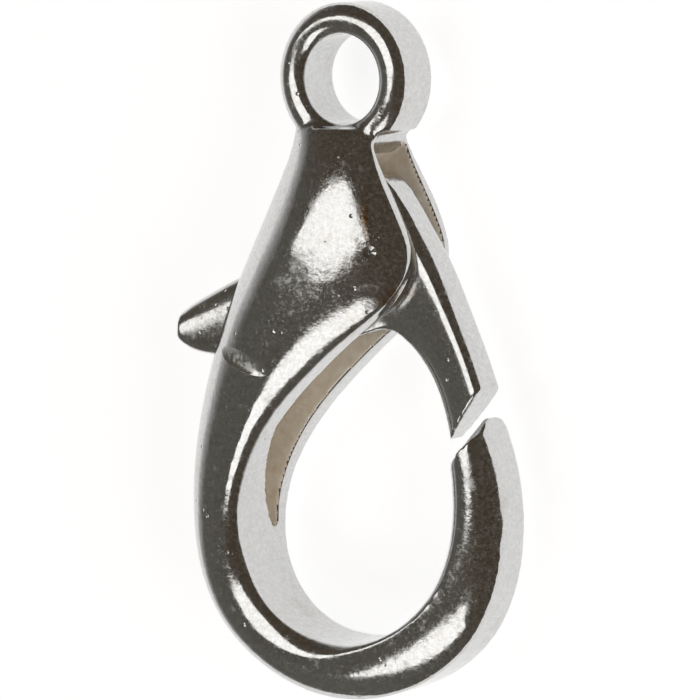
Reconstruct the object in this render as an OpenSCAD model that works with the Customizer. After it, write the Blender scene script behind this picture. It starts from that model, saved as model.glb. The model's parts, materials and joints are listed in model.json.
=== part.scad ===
/* [Eye] */
// Outside diameter of the eye that takes the jump ring
eye_od = 2.6; // [2.4:0.05:2.8]
// Diameter of the hole through the eye
eye_bore = 1.54; // [1.3:0.02:1.6]
// Radius of the rounding across the faces of the eye
eye_round = 0.34; // [0.3:0.01:0.5]
// Half the height between the centres of that rounding
eye_lift = 0.2; // [0.15:0.01:0.3]
// Distance of those centres from the middle of the wall, toward the hole
eye_lean = 0.02; // [0:0.01:0.06]

/* [Body] */
// Length from the centre of the eye to the bottom of the hook
body_l = 10.7; // [10.2:0.1:11.2]
// Width across the hook
hook_w = 6.2; // [5.8:0.1:6.6]
// Thickness of the shoulders at their crown
body_t = 2.36; // [2.2:0.02:2.6]
// Width of the slot between the two shoulder plates
slot_w = 0.94; // [0.8:0.02:1]

/* [Lever] */
// Gap between the lever and each shoulder plate
lever_gap = 0.05; // [0.03:0.01:0.08]
// Gap between the end of the gate and the inner corner of the hook's tip
gate_gap = 0.16; // [0.12:0.02:0.3]
// Slope of the gate's end
gate_angle = 53; // [50:1:56]
// Slope of the end face of the hook's tip
tip_angle = 48; // [45:1:51]

/* [Pivot pin] */
// Diameter of the pin
pin_d = 0.62; // [0.5:0.02:0.7]
// Length of the pin, which stops under the skin of both plates
pin_l = 1.5; // [1.4:0.02:1.56]
// Radial clearance of the pin in the lever
pin_run = 0.03; // [0.02:0.01:0.06]
// Radial clearance of the pin in the plates
pin_seat = 0.02; // [0.015:0.005:0.03]

/* [Hidden] */
$fn = 96;

// Steps between two rows of a table, and across the face of a section
row_steps = 4;
face_steps = 18;
lever_t = slot_w - 2 * lever_gap;
half_t = body_t / 2;

// Place of the pivot and of the inner corner of the hook's tip,
// as shares of the hook's width and the body's length
pivot = [0.155 * hook_w, -0.266 * body_l];
tip_point = [0.330 * hook_w, -0.591 * body_l];
// Length of the tip's end face, the radius of its outer corner, and the angle
// from the X axis at which that corner runs out into the outer wall
tip_face = 0.88;
tip_round = 0.16;
tip_exit_angle = 20;
// The tip's end face slopes from a narrow flat at mid-thickness to both faces:
// half the height of that flat, the height up to which it slopes, and how far it falls back
end_flat = 0.06;
end_half = 0.4;
end_fall = 0.22;

// Sections of the cast body from the tip of the hook round to the eye.
// Columns: outer x, outer y, inner x, inner y, ridge, fullness, crown, outer wall, inner wall.
// x is a share of the hook's width and y of the body's length. The ridge lies at a share of the
// way from the outer to the inner point. A fullness of 1 makes the face elliptical, and less makes
// it flatter on top. The last three are shares of half the thickness.
// The inner points lie a little inside the loop, where the loop's outline trims them.
BODY_ROWS = [
    [ 0.372,  0.440,  0.270,  0.456, 0.52, 0.85, 0.52, 0.18, 0.16],
    [ 0.448,  0.513,  0.318,  0.522, 0.54, 0.85, 0.53, 0.18, 0.16],
    [ 0.512,  0.601,  0.346,  0.598, 0.56, 0.85, 0.55, 0.21, 0.16],
    [ 0.531,  0.705,  0.362,  0.680, 0.62, 0.80, 0.55, 0.26, 0.16],
    [ 0.497,  0.814,  0.343,  0.758, 0.72, 0.75, 0.57, 0.30, 0.17],
    [ 0.401,  0.906,  0.286,  0.824, 0.84, 0.70, 0.60, 0.34, 0.18],
    [ 0.244,  0.968,  0.193,  0.872, 0.90, 0.65, 0.62, 0.36, 0.19],
    [ 0.077,  0.999,  0.080,  0.897, 0.88, 0.60, 0.64, 0.37, 0.20],
    [-0.105,  0.998, -0.030,  0.902, 0.66, 0.50, 0.64, 0.38, 0.21],
    [-0.268,  0.961, -0.138,  0.887, 0.47, 0.45, 0.65, 0.38, 0.24],
    [-0.412,  0.892, -0.232,  0.849, 0.46, 0.42, 0.67, 0.40, 0.25],
    [-0.484,  0.801, -0.300,  0.786, 0.60, 0.45, 0.70, 0.42, 0.26],
    [-0.498,  0.705, -0.311,  0.690, 0.76, 0.52, 0.75, 0.45, 0.30],
    [-0.484,  0.609, -0.242,  0.597, 0.74, 0.60, 0.84, 0.48, 0.43],
    [-0.448,  0.513, -0.088,  0.505, 0.60, 0.70, 0.95, 0.48, 0.56],
    [-0.400,  0.420,  0.078,  0.422, 0.48, 0.70, 1.00, 0.47, 0.58],
    [-0.337,  0.333,  0.266,  0.342, 0.41, 0.95, 1.01, 0.46, 0.47],
    [-0.268,  0.253,  0.272,  0.242, 0.44, 1.30, 1.00, 0.45, 0.44],
    [-0.197,  0.172,  0.190,  0.160, 0.47, 1.50, 0.87, 0.47, 0.46],
    [-0.163,  0.118,  0.140,  0.110, 0.48, 1.20, 0.70, 0.38, 0.38],
    [-0.152,  0.078,  0.128,  0.076, 0.48, 0.80, 0.55, 0.36, 0.36],
    [-0.145,  0.040,  0.124,  0.040, 0.48, 0.60, 0.36, 0.28, 0.28]
];

// Outline of the plates' right edge and of the loop, down from the eye and round to the tip.
// Columns: x as a share of the hook's width, y as a share of the body's length.
LOOP_POINTS = [
    [ 0.105, 0.064], [ 0.105, 0.090], [ 0.133, 0.131], [ 0.177, 0.176], [ 0.218, 0.221],
    [ 0.246, 0.261], [ 0.243, 0.299], [ 0.204, 0.341], [ 0.133, 0.377], [ 0.034, 0.421],
    [-0.074, 0.477], [-0.168, 0.532], [-0.247, 0.592], [-0.303, 0.660], [-0.326, 0.724],
    [-0.304, 0.794], [-0.243, 0.855], [-0.152, 0.892], [-0.033, 0.909], [ 0.094, 0.903],
    [ 0.207, 0.873], [ 0.296, 0.820], [ 0.351, 0.756], [ 0.373, 0.685], [ 0.362, 0.616],
    [ 0.345, 0.575]
];

// Sections of the lever from the trigger over the hub to the end of the gate.
// Columns: upper x, upper y, lower x, lower y, ridge, fullness, crown, upper wall, lower wall.
// The last three are shares of half the lever's thickness.
LEVER_ROWS = [
    [-0.576,  0.400, -0.576,  0.430, 0.80, 0.40, 0.96, 0.40, 0.70],
    [-0.570,  0.396, -0.570,  0.436, 0.80, 0.40, 1.00, 0.34, 0.72],
    [-0.535,  0.379, -0.540,  0.451, 0.80, 0.40, 1.00, 0.32, 0.74],
    [-0.470,  0.359, -0.475,  0.459, 0.80, 0.40, 1.00, 0.34, 0.76],
    [-0.380,  0.331, -0.380,  0.458, 0.74, 0.40, 1.00, 0.40, 0.76],
    [-0.230,  0.296, -0.230,  0.442, 0.50, 0.60, 1.00, 0.60, 0.75],
    [-0.030,  0.232, -0.080,  0.428, 0.50, 0.70, 1.00, 0.75, 0.75],
    [ 0.080,  0.130,  0.030,  0.412, 0.40, 0.80, 1.00, 0.70, 0.70],
    [ 0.160,  0.170,  0.110,  0.394, 0.32, 0.80, 1.00, 0.60, 0.66],
    [ 0.228,  0.226,  0.146,  0.396, 0.26, 0.80, 1.00, 0.46, 0.56],
    [ 0.300,  0.284,  0.186,  0.408, 0.22, 0.80, 0.96, 0.36, 0.50],
    [ 0.352,  0.350,  0.238,  0.436, 0.20, 0.80, 0.91, 0.28, 0.44],
    [ 0.410,  0.420,  0.292,  0.480, 0.20, 0.80, 0.88, 0.26, 0.42],
    [ 0.457,  0.486,  0.326,  0.540, 0.20, 0.80, 0.88, 0.32, 0.42],
    [ 0.488,  0.556,  0.350,  0.610, 0.20, 0.80, 0.90, 0.42, 0.42],
    [ 0.508,  0.630,  0.370,  0.680, 0.20, 0.80, 0.92, 0.46, 0.42]
];

// Clear way of the lever through the slot, from the roof beside the eye round to the left.
// Columns: x as a share of the hook's width, y as a share of the body's length.
SLOT_POINTS = [
    [ 0.50, 0.070], [ 0.125, 0.082], [ 0.105, 0.105], [ 0.02, 0.140], [-0.06, 0.166], [-0.15, 0.180],
    [-0.60, 0.170], [-0.60, 0.480], [-0.33, 0.478], [-0.355, 0.545], [-0.385, 0.620],
    [-0.392, 0.690], [-0.35, 0.742], [-0.25, 0.742], [0.10, 0.600], [0.50, 0.400]
];
// Side view of the slot, whose front side tapers it to the back wall inside the loop.
// Columns: y as a share of the body's length, height as a share of the slot's width.
TAPER_POINTS = [[0, 1], [0.462, 1], [0.742, -0.36], [0.742, -1], [0, -1]];

// Point on a smooth curve through a table's rows: share f between rows i and i + 1
function blend(rows, i, f) =
    (pow(1 - f, 3) * rows[i - 1]
    + (3 * pow(f, 3) - 6 * pow(f, 2) + 4) * rows[i]
    + (-3 * pow(f, 3) + 3 * pow(f, 2) + 3 * f + 1) * rows[i + 1]
    + pow(f, 3) * rows[i + 2]) / 6;

// All points of that curve, steps of them between two rows
function curve(rows, steps) = [
    for (i = [1 : len(rows) - 3])
        for (k = [0 : steps - 1])
            blend(rows, i, k / steps),
    blend(rows, len(rows) - 3, 1)
];

// Shares of a table turned into millimetres
function plan(p) = [p[0] * hook_w, -p[1] * body_l];
function sized(row, half) = [
    row[0] * hook_w, -row[1] * body_l,
    row[2] * hook_w, -row[3] * body_l,
    row[4], row[5], row[6] * half, row[7] * half, row[8] * half
];

// One section: a wall at each end and a domed face between them, above and below.
// The face falls from its ridge to each wall.
function section(s) =
    let (
        ridge = s[4],
        fullness = s[5],
        crown = s[6],
        to_outer = acos(pow(s[7] / crown, 1 / fullness)),
        to_inner = acos(pow(s[8] / crown, 1 / fullness)),
        face = [
            for (k = [0 : face_steps])
                let (
                    a = -to_outer + (to_outer + to_inner) * k / face_steps,
                    f = a < 0 ? ridge + ridge * sin(a) / sin(to_outer)
                        : ridge + (1 - ridge) * sin(a) / sin(to_inner)
                )
                [
                    s[0] + f * (s[2] - s[0]),
                    s[1] + f * (s[3] - s[1]),
                    crown * pow(cos(a), fullness)
                ]
        ]
    )
    concat(face, [for (k = [face_steps : -1 : 0]) [face[k][0], face[k][1], -face[k][2]]]);

// Solid lofted through the sections of a table
module loft(rows, half) {
    sections = [for (row = curve(rows, row_steps)) section(sized(row, half))];
    per = len(sections[0]);
    last = len(sections) - 1;
    polyhedron(
        points = [for (s = sections) each s],
        faces = concat(
            [[for (k = [0 : per - 1]) k]],
            [[for (k = [per - 1 : -1 : 0]) last * per + k]],
            [
                for (i = [0 : last - 1])
                    for (k = [0 : per - 1])
                        let (n = (k + 1) % per)
                        each [
                            [i * per + k, (i + 1) * per + k, (i + 1) * per + n],
                            [i * per + k, (i + 1) * per + n, i * per + n]
                        ]
            ]
        )
    );
}

// The end face of the hook: a straight slope, then a round turn to the outside
function along(length) = tip_point + length * [cos(tip_angle), sin(tip_angle)];
function tip_turn() =
    let (
        centre = along(tip_face) + tip_round * [sin(tip_angle), -cos(tip_angle)],
        from = 90 + tip_angle,
        step = (from - tip_exit_angle) / face_steps
    )
    [
        for (k = [0 : face_steps])
            centre + tip_round * [cos(from - k * step), sin(from - k * step)]
    ];

// All that is open in plan on the right of the plates, inside the loop and over the tip
module open_area() {
    edge = [for (p = curve(LOOP_POINTS, row_steps)) plan(p)];
    tip = concat([tip_point], tip_turn());
    below_tip = tip_point[1] + tip_face / 2;
    polygon(concat(edge, tip, [[hook_w, below_tip], [hook_w, 0]]));
}

// Space that the two slopes of the tip's end face leave open
module tip_slopes() {
    run = end_fall * end_flat / (end_half - end_flat);
    translate([tip_point[0], tip_point[1], 0])
        rotate([90, 0, 90 + tip_angle])
            translate([0, 0, -tip_face / 2])
                for (side = [-1, 1])
                    linear_extrude(height = 2 * tip_face)
                        polygon([
                            [-end_fall, side * end_half], [run, 0],
                            [run, side * body_t], [-end_fall, side * body_t]
                        ]);
}

// Ring of the eye, with a flat outer wall, a flat bore and domed faces
module eye() {
    mid = (eye_od + eye_bore) / 4 - eye_lean;
    wall = (eye_od - eye_bore) / 2;
    rotate_extrude()
        intersection() {
            translate([eye_bore / 2, -eye_od])
                square([wall, 2 * eye_od]);
            union() {
                for (side = [-1, 1])
                    translate([mid, side * eye_lift])
                        circle(r = eye_round);
                translate([mid - eye_round, -eye_lift])
                    square([2 * eye_round, 2 * eye_lift]);
            }
        }
}

// Slot between the plates: its plan and its side view, cut from one another
module slot() {
    intersection() {
        translate([0, 0, -slot_w / 2])
            linear_extrude(height = slot_w)
                polygon([for (p = SLOT_POINTS) plan(p)]);
        rotate([90, 0, 90])
            translate([0, 0, -hook_w])
                linear_extrude(height = 2 * hook_w)
                    polygon([for (p = TAPER_POINTS) [-p[0] * body_l, p[1] * slot_w]]);
    }
}

// Cylinder on the pivot's axis, as wide as the pin and a radial gap round it
module pin(radial_gap, length) {
    translate([pivot[0], pivot[1], -length / 2])
        cylinder(d = pin_d + 2 * radial_gap, h = length);
}

// Eye, plates and hook: one casting with a slot and a blind hole for the pin
module body() {
    color("#c9c9c6")
    difference() {
        union() {
            difference() {
                loft(BODY_ROWS, half_t);
                translate([0, 0, -body_t])
                    linear_extrude(height = 2 * body_t)
                        open_area();
                tip_slopes();
            }
            eye();
        }
        translate([0, 0, -body_t])
            cylinder(d = eye_bore, h = 2 * body_t);
        slot();
        pin(pin_seat, pin_l);
    }
}

// All that is in plan beyond the end of the gate
module gate_end() {
    translate(tip_point)
        rotate(gate_angle)
            translate([-hook_w, gate_gap - 2 * hook_w])
                square([2 * hook_w, 2 * hook_w]);
}

// Trigger, hub and gate: one casting with a hole for the pin
module lever() {
    color("#b9bab8")
    difference() {
        loft(LEVER_ROWS, lever_t / 2);
        translate([0, 0, -body_t])
            linear_extrude(height = 2 * body_t)
                gate_end();
        pin(pin_run, body_t);
    }
}

// Plain pin, hidden in both plates
module pivot_pin() {
    color("#a8a8a4")
        pin(0, pin_l - 2 * pin_seat);
}

body();
lever();
pivot_pin();
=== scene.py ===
import json
import math

import bpy
from mathutils import Matrix, Vector

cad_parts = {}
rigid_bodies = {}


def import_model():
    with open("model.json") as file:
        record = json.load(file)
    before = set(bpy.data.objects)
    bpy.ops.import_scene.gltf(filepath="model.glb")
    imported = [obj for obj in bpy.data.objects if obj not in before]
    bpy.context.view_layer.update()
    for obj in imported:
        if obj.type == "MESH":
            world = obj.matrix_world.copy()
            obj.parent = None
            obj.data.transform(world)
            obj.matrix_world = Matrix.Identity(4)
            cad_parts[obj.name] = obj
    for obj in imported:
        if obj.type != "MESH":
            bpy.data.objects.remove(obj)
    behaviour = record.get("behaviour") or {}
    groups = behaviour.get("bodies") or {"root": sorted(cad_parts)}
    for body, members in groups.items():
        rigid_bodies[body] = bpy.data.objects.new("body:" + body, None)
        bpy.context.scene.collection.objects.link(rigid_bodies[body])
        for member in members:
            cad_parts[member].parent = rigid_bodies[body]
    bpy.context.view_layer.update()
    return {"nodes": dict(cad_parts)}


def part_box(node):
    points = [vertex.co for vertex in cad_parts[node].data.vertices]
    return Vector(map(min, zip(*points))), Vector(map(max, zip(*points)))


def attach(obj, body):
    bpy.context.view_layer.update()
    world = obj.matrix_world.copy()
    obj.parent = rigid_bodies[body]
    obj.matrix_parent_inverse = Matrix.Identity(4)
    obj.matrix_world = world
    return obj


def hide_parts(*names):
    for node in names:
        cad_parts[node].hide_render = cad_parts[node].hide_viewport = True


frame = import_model()

MM = 0.001

# The camera stands to the right of the clasp and a little toward the eye, and looks down on it.
CAMERA_RIGHT = Vector((0.8241, 0.0, -0.5664))
CAMERA_UP = Vector((-0.0690, 0.9926, -0.1004))
CAMERA_BACK = Vector((0.5622, 0.1219, 0.8180))
CAMERA_PLACE = Vector((46.54, 5.44, 67.88)) * MM
CAMERA_LENS = 249.1
CAMERA_SENSOR = 36.0
CAMERA_NEAR = 0.001
CAMERA_FAR = 5

# The voxels in which the castings' skin is made anew, in millimetres
BODY_GRAIN = 0.042
LEVER_GRAIN = 0.035
# Points of the CAD solid that lie closer than this are one, in millimetres.
SAME_POINT = 0.0002
# The whole skin is smoothed a little, which rounds the edges. Away from the edges it is smoothed
# much more. An edge is where two faces bend by at least this angle.
TUMBLING = 2
POLISHING = 14
SMOOTHING = 0.5
EDGE_ANGLE = math.radians(16)

# Two opposite corners of the box in which the slot lies. The slot's walls look to the front or to
# the back by at least this share, and toward mid-thickness, or they lie this near to it.
SLOT_LOW = Vector((-2.5, -8.1, -0.485)) * MM
SLOT_HIGH = Vector((1.7, -0.75, 0.485)) * MM
SLOT_FACING = 0.5
SLOT_MIDDLE = 0.28 * MM
# The slot's roof looks toward the hook. It lies above this height and outside this radius of the
# eye's centre.
SLOT_ROOF = -2.2 * MM
EYE_RADIUS = 1.35 * MM

# The oval dent on the left of the body, sunk into the relief and painted paler as a painted
# highlight:
# middle, half sizes and depth in millimetres, and its turn in degrees
DENT_PLACE = (-1.60, -4.86, 1.12)
DENT_HALF_SIZES = (0.60, 0.17, 0.6)
DENT_TURN = -15
DENT_DEPTH = 0.035
# The small round dimple over the end of the pivot pin, as deep as the dent
DIMPLE_PLACE = (0.93, -2.85, 0.95)
DIMPLE_HALF_SIZES = (0.11, 0.11, 0.5)
# Yellow tarnish beside the bright field and at the lower end of the plate's edge:
# middle and half sizes in millimetres, turn in degrees
YELLOWED = (
    ((0.82, -2.27, 0.95), (0.10, 0.55, 0.5), 14),
    ((1.18, -3.59, 0.78), (0.14, 0.26, 0.5), -35),
)

# Colours of the metals
SILVER = (0.66, 0.66, 0.655)
WORN_SHARE = 0.88
TARNISH = (0.42, 0.36, 0.29)
YELLOW_TARNISH = (0.42, 0.24, 0.08)
# A paler colour painted on the dent: a painted highlight standing in for the dent's shine
DENT_PAINTED_HIGHLIGHT = (0.95, 0.95, 0.94)
PIN_STEEL = (0.55, 0.54, 0.52)
SLOT_PALE = (0.96, 0.89, 0.77)
SLOT_DARK = (0.80, 0.69, 0.56)

# The floor, with its size in metres
FLOOR_SIZE = 2.4
FLOOR_CUTS = 3
FLOOR_GREY = (0.5, 0.5, 0.5, 1)
FLOOR_ROUGHNESS = 0.8
FLOOR_GLOW = 0.8
# The light sheets, with their distance from the clasp in metres
LIGHT_DISTANCE = 0.4
LIGHT_COLOUR = (1, 0.985, 0.96, 1)
OVERHEAD_BRIGHTNESS = 1.55
FRONT_BRIGHTNESS = 1.6
SIDE_BRIGHTNESS = 3.2
# Directions from the clasp to the corners of each sheet
OVERHEAD_CORNERS = (
    (-0.37, 0.36, 0.86), (-0.11, 0.44, 0.89), (0.01, 0.39, 0.92),
    (0.13, 0.06, 0.99), (-0.15, -0.13, 0.98), (-0.34, -0.17, 0.92),
    (-0.57, -0.04, 0.82), (-0.75, 0.06, 0.66), (-0.55, 0.24, 0.80),
)
FRONT_CORNERS = (
    (-0.32, -0.38, 0.87), (-0.12, -0.42, 0.90), (0.12, -0.45, 0.88),
    (0.27, -0.68, 0.68), (-0.05, -0.73, 0.68), (-0.45, -0.58, 0.68),
)
SIDE_CORNERS = (
    (0.75, 0.25, 0.62), (0.92, 0.20, 0.35), (0.92, -0.45, 0.35), (0.70, -0.50, 0.62),
)

# The room's shades along two axes. A direction's place on an axis is its dot product with the axis
# plus the lift, and each stop is a place from 0 to 1 and its colour.
FLOOR_GLOW_AXIS = (0.9, 0.0, 1.0)
FLOOR_GLOW_LIFT = 0.9
FLOOR_GLOW_STOPS = (
    (0.0, (0.95, 0.95, 0.95)), (0.16, (0.45, 0.44, 0.43)),
    (0.45, (0.085, 0.075, 0.062)), (1.0, (0.05, 0.04, 0.03)),
)
GLOOM_AXIS = (0.83, 0.67, 0.0)
GLOOM_LIFT = 0.92
GLOOM_STOPS = (
    (0.0, (0.118, 0.113, 0.098)), (0.38, (0.092, 0.084, 0.070)),
    (0.70, (0.080, 0.065, 0.047)), (1.0, (0.066, 0.051, 0.035)),
)


def deselect_all():
    if bpy.context.mode != "OBJECT":
        bpy.ops.object.mode_set(mode="OBJECT")
    bpy.ops.object.select_all(action="DESELECT")


def make_active(piece):
    deselect_all()
    piece.select_set(True)
    bpy.context.view_layer.objects.active = piece


def place_camera():
    bpy.ops.object.camera_add(location=CAMERA_PLACE)
    camera = bpy.context.object
    camera.name = "camera"
    turn = Matrix((CAMERA_RIGHT, CAMERA_UP, CAMERA_BACK)).transposed()
    camera.matrix_world = Matrix.Translation(CAMERA_PLACE) @ turn.to_4x4()
    camera.data.sensor_fit = "HORIZONTAL"
    camera.data.sensor_width = CAMERA_SENSOR
    camera.data.lens = CAMERA_LENS
    camera.data.clip_start = CAMERA_NEAR
    camera.data.clip_end = CAMERA_FAR
    bpy.context.scene.camera = camera


def hang_light_sheet(name, corners, brightness, seen_in_metal=True):
    """A sheet of light over or beside the clasp. Only one that is seen in metal is mirrored."""
    corners = [Vector(corner).normalized() for corner in corners]
    centre = sum(corners, Vector()).normalized()
    bpy.ops.mesh.primitive_circle_add(
        vertices=len(corners), fill_type="NGON", radius=LIGHT_DISTANCE)
    sheet = bpy.context.object
    sheet.name = name
    for point, corner in zip(sheet.data.vertices, corners):
        point.co = corner * LIGHT_DISTANCE / corner.dot(centre)
    glow = bpy.data.materials.new(name)
    glow.use_nodes = True
    shader = glow.node_tree.nodes["Principled BSDF"]
    shader.inputs["Base Color"].default_value = (0, 0, 0, 1)
    shader.inputs["Specular IOR Level"].default_value = 0
    shader.inputs["Emission Color"].default_value = LIGHT_COLOUR
    shader.inputs["Emission Strength"].default_value = brightness
    sheet.data.materials.append(glow)
    sheet.visible_camera = False
    sheet.visible_glossy = seen_in_metal


def lay_floor(level):
    bpy.ops.mesh.primitive_plane_add(size=FLOOR_SIZE, location=(0, 0, level))
    floor = bpy.context.object
    floor.name = "floor"
    bpy.ops.object.mode_set(mode="EDIT")
    bpy.ops.mesh.subdivide(number_cuts=FLOOR_CUTS)
    bpy.ops.object.mode_set(mode="OBJECT")
    bpy.ops.object.transform_apply(location=True, rotation=True, scale=True)
    floor.data.materials.append(floor_paint())


def floor_paint():
    paint = bpy.data.materials.new("pale_floor")
    paint.use_nodes = True
    shader = paint.node_tree.nodes["Principled BSDF"]
    shader.inputs["Base Color"].default_value = FLOOR_GREY
    shader.inputs["Roughness"].default_value = FLOOR_ROUGHNESS
    shader.inputs["Emission Color"].default_value = (1, 1, 1, 1)
    shader.inputs["Emission Strength"].default_value = FLOOR_GLOW
    return paint


def hang_surroundings():
    """A dark studio: pale low on the left, where the floor goes on, and paler toward the hook."""
    world = bpy.data.worlds.new("studio")
    bpy.context.scene.world = world
    world.use_nodes = True
    nodes = world.node_tree.nodes
    links = world.node_tree.links
    where = nodes.new("ShaderNodeTexCoord")

    def shades(axis, lift, stops):
        """The room's colour along one axis."""
        along = nodes.new("ShaderNodeVectorMath")
        along.operation = "DOT_PRODUCT"
        along.inputs[1].default_value = axis
        place = nodes.new("ShaderNodeMath")
        place.operation = "ADD"
        place.inputs[1].default_value = lift
        ramp = nodes.new("ShaderNodeValToRGB")
        links.new(where.outputs["Generated"], along.inputs[0])
        links.new(along.outputs["Value"], place.inputs[0])
        links.new(place.outputs["Value"], ramp.inputs["Fac"])
        elements = ramp.color_ramp.elements
        # A new ramp has two stops already, and each one gets its place below.
        for _ in stops[2:]:
            elements.new(0.5)
        for element, (position, colour) in zip(elements, stops):
            element.position = position
            element.color = (*colour, 1)
        return ramp.outputs["Color"]

    floor_glow = shades(FLOOR_GLOW_AXIS, FLOOR_GLOW_LIFT, FLOOR_GLOW_STOPS)
    gloom = shades(GLOOM_AXIS, GLOOM_LIFT, GLOOM_STOPS)
    lighter = nodes.new("ShaderNodeMix")
    lighter.data_type = "RGBA"
    lighter.blend_type = "LIGHTEN"
    lighter.inputs["Factor"].default_value = 1.0
    links.new(floor_glow, lighter.inputs["A"])
    links.new(gloom, lighter.inputs["B"])
    links.new(lighter.outputs["Result"], nodes["Background"].inputs["Color"])


class Finish:
    """A metal finish whose patterns lie on the piece, in millimetres."""

    def __init__(self, name, shift):
        self.metal = bpy.data.materials.new(name)
        self.metal.use_nodes = True
        self.nodes = self.metal.node_tree.nodes
        self.links = self.metal.node_tree.links
        self.shader = self.nodes["Principled BSDF"]
        self.shader.inputs["Metallic"].default_value = 1.0
        where = self.nodes.new("ShaderNodeTexCoord")
        self.fit = self.nodes.new("ShaderNodeMapping")
        self.fit.inputs["Location"].default_value = shift
        self.fit.inputs["Scale"].default_value = (1 / MM, 1 / MM, 1 / MM)
        self.links.new(where.outputs["Object"], self.fit.inputs["Vector"])
        self.skin = None
        self.gloss = None
        self.relief = None

    def clouds(self, per_mm, detail, rough):
        node = self.nodes.new("ShaderNodeTexNoise")
        node.inputs["Scale"].default_value = per_mm
        node.inputs["Detail"].default_value = detail
        node.inputs["Roughness"].default_value = rough
        self.links.new(self.fit.outputs["Vector"], node.inputs["Vector"])
        return node.outputs["Fac"]

    def cells(self, per_mm):
        node = self.nodes.new("ShaderNodeTexVoronoi")
        node.inputs["Scale"].default_value = per_mm
        self.links.new(self.fit.outputs["Vector"], node.inputs["Vector"])
        return node.outputs["Distance"]

    def spot(self, centre, half_sizes, turn):
        """1 in the middle of an oval place on the piece, fading to 0 at its edge."""
        place = self.nodes.new("ShaderNodeMapping")
        place.vector_type = "TEXTURE"
        place.inputs["Location"].default_value = centre
        place.inputs["Rotation"].default_value = (0, 0, math.radians(turn))
        place.inputs["Scale"].default_value = half_sizes
        reach = self.nodes.new("ShaderNodeVectorMath")
        reach.operation = "LENGTH"
        self.links.new(self.fit.outputs["Vector"], place.inputs["Vector"])
        self.links.new(place.outputs["Vector"], reach.inputs[0])
        return self.ramp(reach.outputs["Value"], low=0.35, high=1.0, first=1.0, last=0.0)

    def ramp(self, source, low, high, first, last):
        """Turns the range from low to high of a pattern into the one from first to last."""
        node = self.nodes.new("ShaderNodeMapRange")
        node.inputs["From Min"].default_value = low
        node.inputs["From Max"].default_value = high
        node.inputs["To Min"].default_value = first
        node.inputs["To Max"].default_value = last
        self.links.new(source, node.inputs["Value"])
        return node.outputs["Result"]

    def both(self, one, other, operation="MULTIPLY"):
        node = self.nodes.new("ShaderNodeMath")
        node.operation = operation
        self.links.new(one, node.inputs[0])
        self.links.new(other, node.inputs[1])
        return node.outputs[0]

    def mix(self, share, first, second):
        """Two colours, each a tuple or the output of a node, mixed by a pattern."""
        node = self.nodes.new("ShaderNodeMix")
        node.data_type = "RGBA"
        self.links.new(share, node.inputs["Factor"])
        for socket, colour in (("A", first), ("B", second)):
            if isinstance(colour, tuple):
                node.inputs[socket].default_value = (*colour, 1)
            else:
                self.links.new(colour, node.inputs[socket])
        return node.outputs["Result"]

    def colour(self, source):
        self.skin = source
        self.links.new(source, self.shader.inputs["Base Color"])

    def stain(self, share, colour):
        """Mixes a colour over the one that the finish has so far."""
        self.colour(self.mix(share, self.skin, colour))

    def shine(self, source):
        self.gloss = source
        self.links.new(source, self.shader.inputs["Roughness"])

    def blunt(self, source):
        """Makes the finish at least as rough as a pattern says."""
        self.shine(self.both(self.gloss, source, "MAXIMUM"))

    def haze(self, source):
        """Lets the surface scatter a little light where its share of bare metal is below 1."""
        self.links.new(source, self.shader.inputs["Metallic"])

    def raise_by(self, source, height, strength=1.0, sunk=False):
        """Adds one pattern to the surface relief; its height is in millimetres."""
        node = self.nodes.new("ShaderNodeBump")
        node.invert = sunk
        node.inputs["Strength"].default_value = strength
        node.inputs["Distance"].default_value = height * MM
        self.links.new(source, node.inputs["Height"])
        if self.relief:
            self.links.new(self.relief, node.inputs["Normal"])
        self.relief = node.outputs["Normal"]
        self.links.new(self.relief, self.shader.inputs["Normal"])


def polished_metal(name, colour, smooth, dull, grain, pitting, shift=(0, 0, 0)):
    """Tumbled and plated casting: bright and softly uneven, with grain, pits and faint stains."""
    finish = Finish(name, shift)
    worn = tuple(WORN_SHARE * part for part in colour)
    mottled = finish.clouds(per_mm=11.0, detail=5, rough=0.75)
    mottled = finish.ramp(mottled, low=0.40, high=0.62, first=0.0, last=1.0)
    tarnished = finish.clouds(per_mm=0.9, detail=5, rough=0.7)
    tarnished = finish.ramp(tarnished, low=0.58, high=0.76, first=0.0, last=0.5)
    finish.colour(finish.mix(mottled, colour, worn))
    finish.stain(tarnished, TARNISH)

    polish = finish.clouds(per_mm=2.3, detail=5, rough=0.65)
    finish.shine(finish.ramp(polish, low=0.36, high=0.68, first=smooth, last=dull))
    scuffs = finish.clouds(per_mm=20.0, detail=4, rough=0.7)
    finish.blunt(finish.ramp(scuffs, low=0.41, high=0.72, first=0.0, last=0.29))
    rubbed = finish.clouds(per_mm=4.5, detail=5, rough=0.7)
    finish.blunt(finish.ramp(rubbed, low=0.50, high=0.70, first=0.0, last=0.34))
    hazy = finish.clouds(per_mm=16.0, detail=5, rough=0.75)
    finish.haze(finish.ramp(hazy, low=0.42, high=0.66, first=1.0, last=0.85))

    finish.raise_by(finish.clouds(per_mm=1.7, detail=2, rough=0.5), height=0.006)
    fine = finish.clouds(per_mm=14.0, detail=3, rough=0.6)
    patches = finish.clouds(per_mm=0.8, detail=4, rough=0.6)
    patches = finish.ramp(patches, low=0.42, high=0.60, first=0.3, last=1.0)
    finish.raise_by(finish.both(fine, patches), height=0.004, strength=grain)
    holes = finish.ramp(finish.cells(per_mm=3.7), low=0.03, high=0.14, first=1.0, last=0.0)
    rare = finish.clouds(per_mm=2.1, detail=1, rough=0.5)
    rare = finish.ramp(rare, low=0.52, high=0.60, first=0.0, last=1.0)
    finish.raise_by(finish.both(holes, rare), height=0.02, strength=pitting, sunk=True)
    return finish


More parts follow.
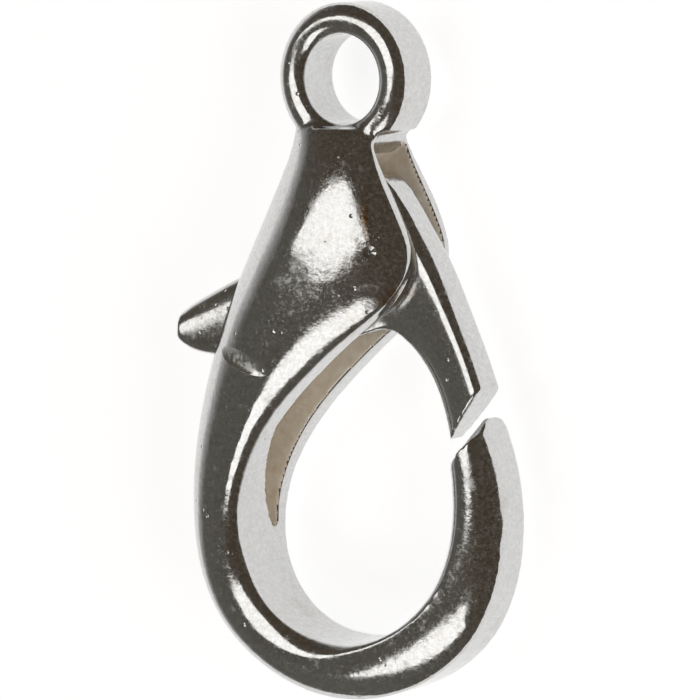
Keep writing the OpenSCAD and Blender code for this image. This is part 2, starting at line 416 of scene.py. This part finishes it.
def raw_metal(name, colour, stain, shift):
    """Inside of the slot, which the polishing media never reach: matt, grainy and yellowed."""
    finish = Finish(name, shift)
    finish.shader.inputs["Metallic"].default_value = 0.0
    stained = finish.clouds(per_mm=4.0, detail=5, rough=0.7)
    stained = finish.ramp(stained, low=0.36, high=0.66, first=0.0, last=1.0)
    finish.colour(finish.mix(stained, colour, stain))
    gloss = finish.clouds(per_mm=6.0, detail=3, rough=0.6)
    finish.shine(finish.ramp(gloss, low=0.3, high=0.7, first=0.5, last=0.7))
    finish.raise_by(finish.clouds(per_mm=9.0, detail=5, rough=0.75), height=0.02, strength=0.8)
    return finish


def mark_body(finish):
    """The marks of use on the body: the dent with its painted highlight, the dimple and the yellow
    tarnish.
    """
    dent = finish.spot(DENT_PLACE, DENT_HALF_SIZES, DENT_TURN)
    finish.raise_by(dent, DENT_DEPTH, sunk=True)
    speckled = finish.clouds(per_mm=8.0, detail=4, rough=0.7)
    speckled = finish.ramp(speckled, low=0.40, high=0.62, first=0.25, last=1.0)
    # The sunk dent is real relief and is made rougher; its paler colour is a painted highlight
    dent_roughness_and_highlight = finish.both(dent, speckled)
    finish.blunt(finish.ramp(dent_roughness_and_highlight, low=0.0, high=1.0, first=0.0, last=0.6))
    finish.stain(dent_roughness_and_highlight, DENT_PAINTED_HIGHLIGHT)

    dimple = finish.spot(DIMPLE_PLACE, DIMPLE_HALF_SIZES, turn=0)
    finish.raise_by(dimple, DENT_DEPTH, sunk=True)

    for place, half_sizes, turn in YELLOWED:
        patch = finish.spot(place, half_sizes, turn)
        uneven = finish.clouds(per_mm=9.0, detail=3, rough=0.6)
        uneven = finish.ramp(uneven, low=0.40, high=0.60, first=0.2, last=0.9)
        finish.stain(finish.both(patch, uneven), YELLOW_TARNISH)


def resize_skin(times):
    """Scales the active piece's mesh about the origin, and leaves edit mode on."""
    bpy.ops.object.mode_set(mode="EDIT")
    bpy.ops.mesh.select_all(action="SELECT")
    bpy.ops.transform.resize(value=(times, times, times), center_override=(0, 0, 0))


def cast_copy(node, name, grain):
    """A copy of a CAD solid with the soft edges and the even skin of a tumbled casting."""
    source = frame["nodes"][node]
    deselect_all()
    piece = bpy.data.objects.new(name, source.data.copy())
    bpy.context.scene.collection.objects.link(piece)
    piece.data.materials.clear()
    make_active(piece)

    # The skin is worked on in millimetres, because its mesh size has to be far below one.
    resize_skin(1 / MM)
    bpy.ops.mesh.remove_doubles(threshold=SAME_POINT)
    bpy.ops.object.mode_set(mode="OBJECT")

    skin = piece.modifiers.new("skin", "REMESH")
    skin.mode = "VOXEL"
    skin.voxel_size = grain
    skin.adaptivity = 0
    bpy.ops.object.modifier_apply(modifier=skin.name)

    # The group takes in all points that are neither on an edge nor next to one.
    faces = piece.vertex_groups.new(name="faces")
    bpy.ops.object.mode_set(mode="EDIT")
    bpy.ops.mesh.select_mode(type="EDGE")
    bpy.ops.mesh.select_all(action="DESELECT")
    bpy.ops.mesh.edges_select_sharp(sharpness=EDGE_ANGLE)
    bpy.ops.mesh.select_mode(type="VERT")
    bpy.ops.mesh.select_more()
    bpy.ops.mesh.select_all(action="INVERT")
    bpy.ops.object.vertex_group_assign()
    bpy.ops.object.mode_set(mode="OBJECT")
    for group, rounds in ((faces.name, POLISHING), ("", TUMBLING)):
        polish = piece.modifiers.new("polish", "SMOOTH")
        polish.factor = SMOOTHING
        polish.iterations = rounds
        polish.vertex_group = group
        bpy.ops.object.modifier_apply(modifier=polish.name)

    resize_skin(MM)
    bpy.ops.object.mode_set(mode="OBJECT")
    bpy.ops.object.shade_smooth()
    return piece


def in_slot(face):
    """Whether a face of the body is on the slot's walls or roof, which aren't polished."""
    if not all(low < at < high for low, at, high in zip(SLOT_LOW, face.center, SLOT_HIGH)):
        return False
    inward = face.center.z * face.normal.z < 0 or abs(face.center.z) < SLOT_MIDDLE
    wall = inward and abs(face.normal.z) > SLOT_FACING
    below_eye = face.center.y > SLOT_ROOF and face.center.xy.length > EYE_RADIUS
    roof = below_eye and face.normal.y < -SLOT_FACING
    return wall or roof


bpy.context.scene.view_settings.view_transform = "Standard"

place_camera()
hang_surroundings()
lay_floor(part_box("body")[0].z)
hang_light_sheet("light_overhead", OVERHEAD_CORNERS, OVERHEAD_BRIGHTNESS)
hang_light_sheet("light_front", FRONT_CORNERS, FRONT_BRIGHTNESS)
hang_light_sheet("light_side", SIDE_CORNERS, SIDE_BRIGHTNESS, seen_in_metal=False)

body_finish = polished_metal(
    "body_metal", SILVER, smooth=0.05, dull=0.13, grain=0.5, pitting=0.5)
mark_body(body_finish)
lever_finish = polished_metal(
    "lever_metal", SILVER, smooth=0.07, dull=0.18, grain=0.5, pitting=0.6, shift=(3, 1, 0))
pin_finish = polished_metal(
    "pin_metal", PIN_STEEL, smooth=0.2, dull=0.35, grain=0.6, pitting=0.2, shift=(1, 5, 0))
slot_finish = raw_metal("slot_metal", SLOT_PALE, SLOT_DARK, shift=(2, 2, 2))

cast_body = cast_copy("body", "cast_body", BODY_GRAIN)
cast_body.data.materials.append(body_finish.metal)
cast_body.data.materials.append(slot_finish.metal)
for face in cast_body.data.polygons:
    if in_slot(face):
        face.material_index = 1
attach(cast_body, "clasp")
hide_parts("body")

cast_lever = cast_copy("lever", "cast_lever", LEVER_GRAIN)
cast_lever.data.materials.append(lever_finish.metal)
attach(cast_lever, "gate_lever")
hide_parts("lever")

for slot in frame["nodes"]["pivot_pin"].material_slots:
    slot.material = pin_finish.metal
